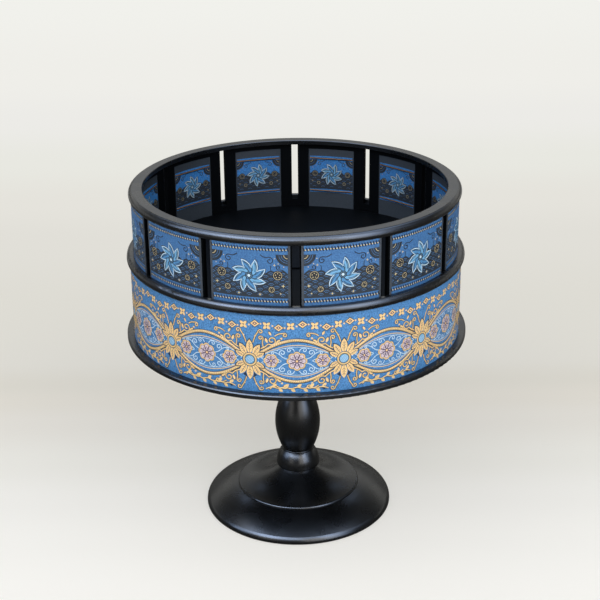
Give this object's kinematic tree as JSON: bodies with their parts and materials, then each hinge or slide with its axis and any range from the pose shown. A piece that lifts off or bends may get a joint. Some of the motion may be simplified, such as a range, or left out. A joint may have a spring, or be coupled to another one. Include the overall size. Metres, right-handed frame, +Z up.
{
  "type": "zoetrope",
  "caption": "Drum zoetrope on a turned pedestal: slotted drum with inner and outer picture cards and a printed band, spun by hand on ball bearings.",
  "frame": {"origin": "on the table under the spin axis, at the bottom of the pad", "axes": "+Z up along the spin axis; one viewing slot faces -Y"},
  "size_m": [0.2106, 0.2106, 0.218],
  "materials": {
    "black_lacquer": "satin black lacquer",
    "black_moulding": "satin black moulding",
    "outer_print": "matt printed card",
    "inner_print": "matt printed card",
    "printed_band": "matt printed band",
    "pad_rubber": "matt",
    "ballast_iron": "machined",
    "zinc_steel": "zinc plated",
    "hub_aluminium": "turned",
    "bearing_steel": "ground",
    "cage_brass": "pressed"
  },
  "bodies": {
    "stand": {"foot": "black_lacquer", "base_pad": "pad_rubber", "ballast_disc": "ballast_iron", "ballast_screws": "zinc_steel", "rod_washer": "zinc_steel", "rod_nut": "zinc_steel", "lower_bead": "black_lacquer", "column_barrel": "black_lacquer", "upper_bead": "black_lacquer", "bearing_collar": "black_lacquer", "spindle": "zinc_steel", "lower_spacer": "hub_aluminium", "bearing_spacer": "hub_aluminium", "top_washer": "zinc_steel", "lock_nut": "zinc_steel", "lower_inner_race": "bearing_steel", "upper_inner_race": "bearing_steel"},
    "drum": {"top_rim": "black_lacquer", "odd_staves": "black_moulding", "even_staves": "black_moulding", "wall_base_ring": "black_moulding", "ledge_ring": "black_lacquer", "lower_shell": "black_moulding", "picture_band": "printed_band", "bottom_plate": "black_lacquer", "drum_floor": "black_moulding", "hub": "hub_aluminium", "hub_cap": "black_moulding", "lower_outer_race": "bearing_steel", "upper_outer_race": "bearing_steel", "bearing_shields": "bearing_steel", "shell_screws": "zinc_steel", "hub_screws": "zinc_steel", "floor_screws": "zinc_steel", "outer_card_01": "outer_print", "inner_card_01": "inner_print", "outer_card_02": "outer_print", "inner_card_02": "inner_print", "outer_card_03": "outer_print", "inner_card_03": "inner_print", "outer_card_04": "outer_print", "inner_card_04": "inner_print", "outer_card_05": "outer_print", "inner_card_05": "inner_print", "outer_card_06": "outer_print", "inner_card_06": "inner_print", "outer_card_07": "outer_print", "inner_card_07": "inner_print", "outer_card_08": "outer_print", "inner_card_08": "inner_print", "outer_card_09": "outer_print", "inner_card_09": "inner_print", "outer_card_10": "outer_print", "inner_card_10": "inner_print", "outer_card_11": "outer_print", "inner_card_11": "inner_print", "outer_card_12": "outer_print", "inner_card_12": "inner_print"},
    "ball_sets": {"bearing_balls": "bearing_steel", "bearing_cages": "cage_brass"}
  },
  "joints": [
    {"name": "drum_spin", "type": "hinge", "parent": "stand", "child": "drum", "pos_m": [0, 0, 0.143], "axis": [0, 0, 1], "continuous": true},
    {"name": "ball_orbit", "type": "hinge", "parent": "stand", "child": "ball_sets", "pos_m": [0, 0, 0.143], "axis": [0, 0, 1], "continuous": true}
  ],
  "couplings": [
    {"joint": "ball_orbit", "follows": "drum_spin", "ratio": 0.63233}
  ]
}
